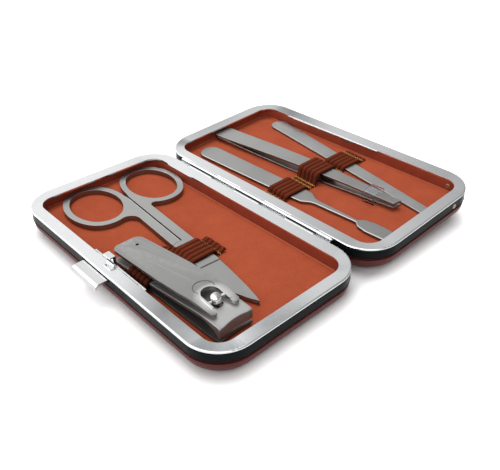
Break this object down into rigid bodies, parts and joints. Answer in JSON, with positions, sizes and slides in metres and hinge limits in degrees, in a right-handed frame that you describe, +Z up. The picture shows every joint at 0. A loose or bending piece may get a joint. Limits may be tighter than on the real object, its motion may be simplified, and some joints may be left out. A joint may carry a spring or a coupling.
{
  "type": "manicure set case",
  "caption": "Open clamshell manicure case: chrome-framed leather halves on a hinge, suede trays, straps holding scissors, nail clipper, pusher, tweezers and file.",
  "frame": {"origin": "centre of the flat underside of the left half, on the surface the case lies on", "axes": "+X across the hinge from the left half to the lid, +Y along the hinge away from the clipper's jaws, +Z up"},
  "size_m": [0.1366, 0.115, 0.0159],
  "materials": {
    "frame_chrome": "mirror-polished nickel plate",
    "band_black": "glossy black enamel",
    "cover_leather": "burgundy leather, light sheen",
    "lining_suede": "terracotta suede",
    "wall_suede": "dark rust suede",
    "tray_card": "pressed fibre board",
    "pad_foam": "soft foam",
    "strap_elastic": "ribbed elastic, matt",
    "tool_steel": "satin stainless steel",
    "bright_steel": "polished steel",
    "rivet_brass": "polished brass",
    "clear_sleeve": "clear soft plastic"
  },
  "bodies": {
    "case_base": {"base_frame": "frame_chrome", "base_rim_band": "band_black", "base_leather_cover": "cover_leather", "base_padding": "pad_foam", "base_tray_board": "tray_card", "base_wall_lining": "wall_suede", "base_floor_lining": "lining_suede", "base_strap": "strap_elastic", "hinge_pin": "frame_chrome", "latch_anchor": "bright_steel"},
    "case_lid": {"lid_frame": "frame_chrome", "lid_rim_band": "band_black", "lid_leather_cover": "cover_leather", "lid_padding": "pad_foam", "lid_tray_board": "tray_card", "lid_wall_lining": "wall_suede", "lid_floor_lining": "lining_suede", "lid_strap": "strap_elastic", "lid_catch_bar": "bright_steel", "lid_rivets": "rivet_brass"},
    "latch": {"latch_leaf": "bright_steel", "latch_thumb_tab": "bright_steel"},
    "scissors": {"scissor_half_upper": "tool_steel", "scissor_screw": "tool_steel"},
    "scissors_left": {"scissor_half_lower": "tool_steel"},
    "clipper": {"clipper_lower_jaw": "tool_steel", "clipper_rear_rivet": "tool_steel"},
    "clipper_jaw": {"clipper_upper_jaw": "tool_steel"},
    "clipper_post": {"clipper_pin": "bright_steel"},
    "clipper_handle": {"clipper_lever": "tool_steel"},
    "tweezers": {"tweezer_lower_arm": "tool_steel", "tweezer_tip_band": "clear_sleeve"},
    "tweezers_top": {"tweezer_upper_arm": "tool_steel"},
    "pusher": {"cuticle_pusher": "tool_steel"},
    "file": {"nail_file": "tool_steel"}
  },
  "joints": [
    {"name": "lid_hinge", "type": "hinge", "parent": "case_base", "child": "case_lid", "pos_m": [0.03355, 0, 0.01065], "axis": [0, 1, 0], "range_deg": [-177.26, 0]},
    {"name": "latch_press", "type": "hinge", "parent": "case_base", "child": "latch", "pos_m": [-0.0268, -0.018, 0.0085], "axis": [0, 0, -1], "range_deg": [0, 2.2], "stiffness_Nm_per_rad": 1.5},
    {"name": "scissors_slide", "type": "slide", "parent": "case_base", "child": "scissors", "axis": [-0.0758, -0.9971, 0], "range_m": [0, 0.005]},
    {"name": "scissors_open", "type": "hinge", "parent": "scissors", "child": "scissors_left", "pos_m": [-0.00145, -0.0115, 0.00635], "axis": [0, 0, 1], "range_deg": [0, 3.5]},
    {"name": "clipper_slide", "type": "slide", "parent": "case_base", "child": "clipper", "axis": [0.0192, -0.9998, 0], "range_m": [0, 0.003]},
    {"name": "clipper_bite", "type": "hinge", "parent": "clipper", "child": "clipper_jaw", "pos_m": [-0.01751, 0.00129, 0.00625], "axis": [0.9998, 0.0192, 0], "range_deg": [0, 1], "stiffness_Nm_per_rad": 5},
    {"name": "clipper_turn", "type": "hinge", "parent": "clipper", "child": "clipper_post", "pos_m": [-0.01672, -0.0399, 0.00925], "axis": [0, 0, -1], "range_deg": [0, 60]},
    {"name": "clipper_lift", "type": "hinge", "parent": "clipper_post", "child": "clipper_handle", "pos_m": [-0.01672, -0.0399, 0.01365], "axis": [0.9998, 0.0192, 0], "range_deg": [0, 15]},
    {"name": "tweezers_slide", "type": "slide", "parent": "case_lid", "child": "tweezers", "axis": [0.054, -0.9985, 0.0026], "range_m": [0, 0.005]},
    {"name": "tweezers_squeeze", "type": "hinge", "parent": "tweezers", "child": "tweezers_top", "pos_m": [0.06527, 0.04667, 0.00896], "axis": [0.9974, 0.0541, 0.0477], "range_deg": [0, 0.42], "stiffness_Nm_per_rad": 5},
    {"name": "pusher_slide", "type": "slide", "parent": "case_lid", "child": "pusher", "axis": [-0.0314, 0.9995, -0.0015], "range_m": [0, 0.005]},
    {"name": "file_slide", "type": "slide", "parent": "case_lid", "child": "file", "axis": [0.1614, 0.9869, 0.0077], "range_m": [0, 0.003]}
  ],
  "couplings": [
    {"joint": "clipper_bite", "follows": "clipper_lift", "ratio": 0.066667}
  ]
}
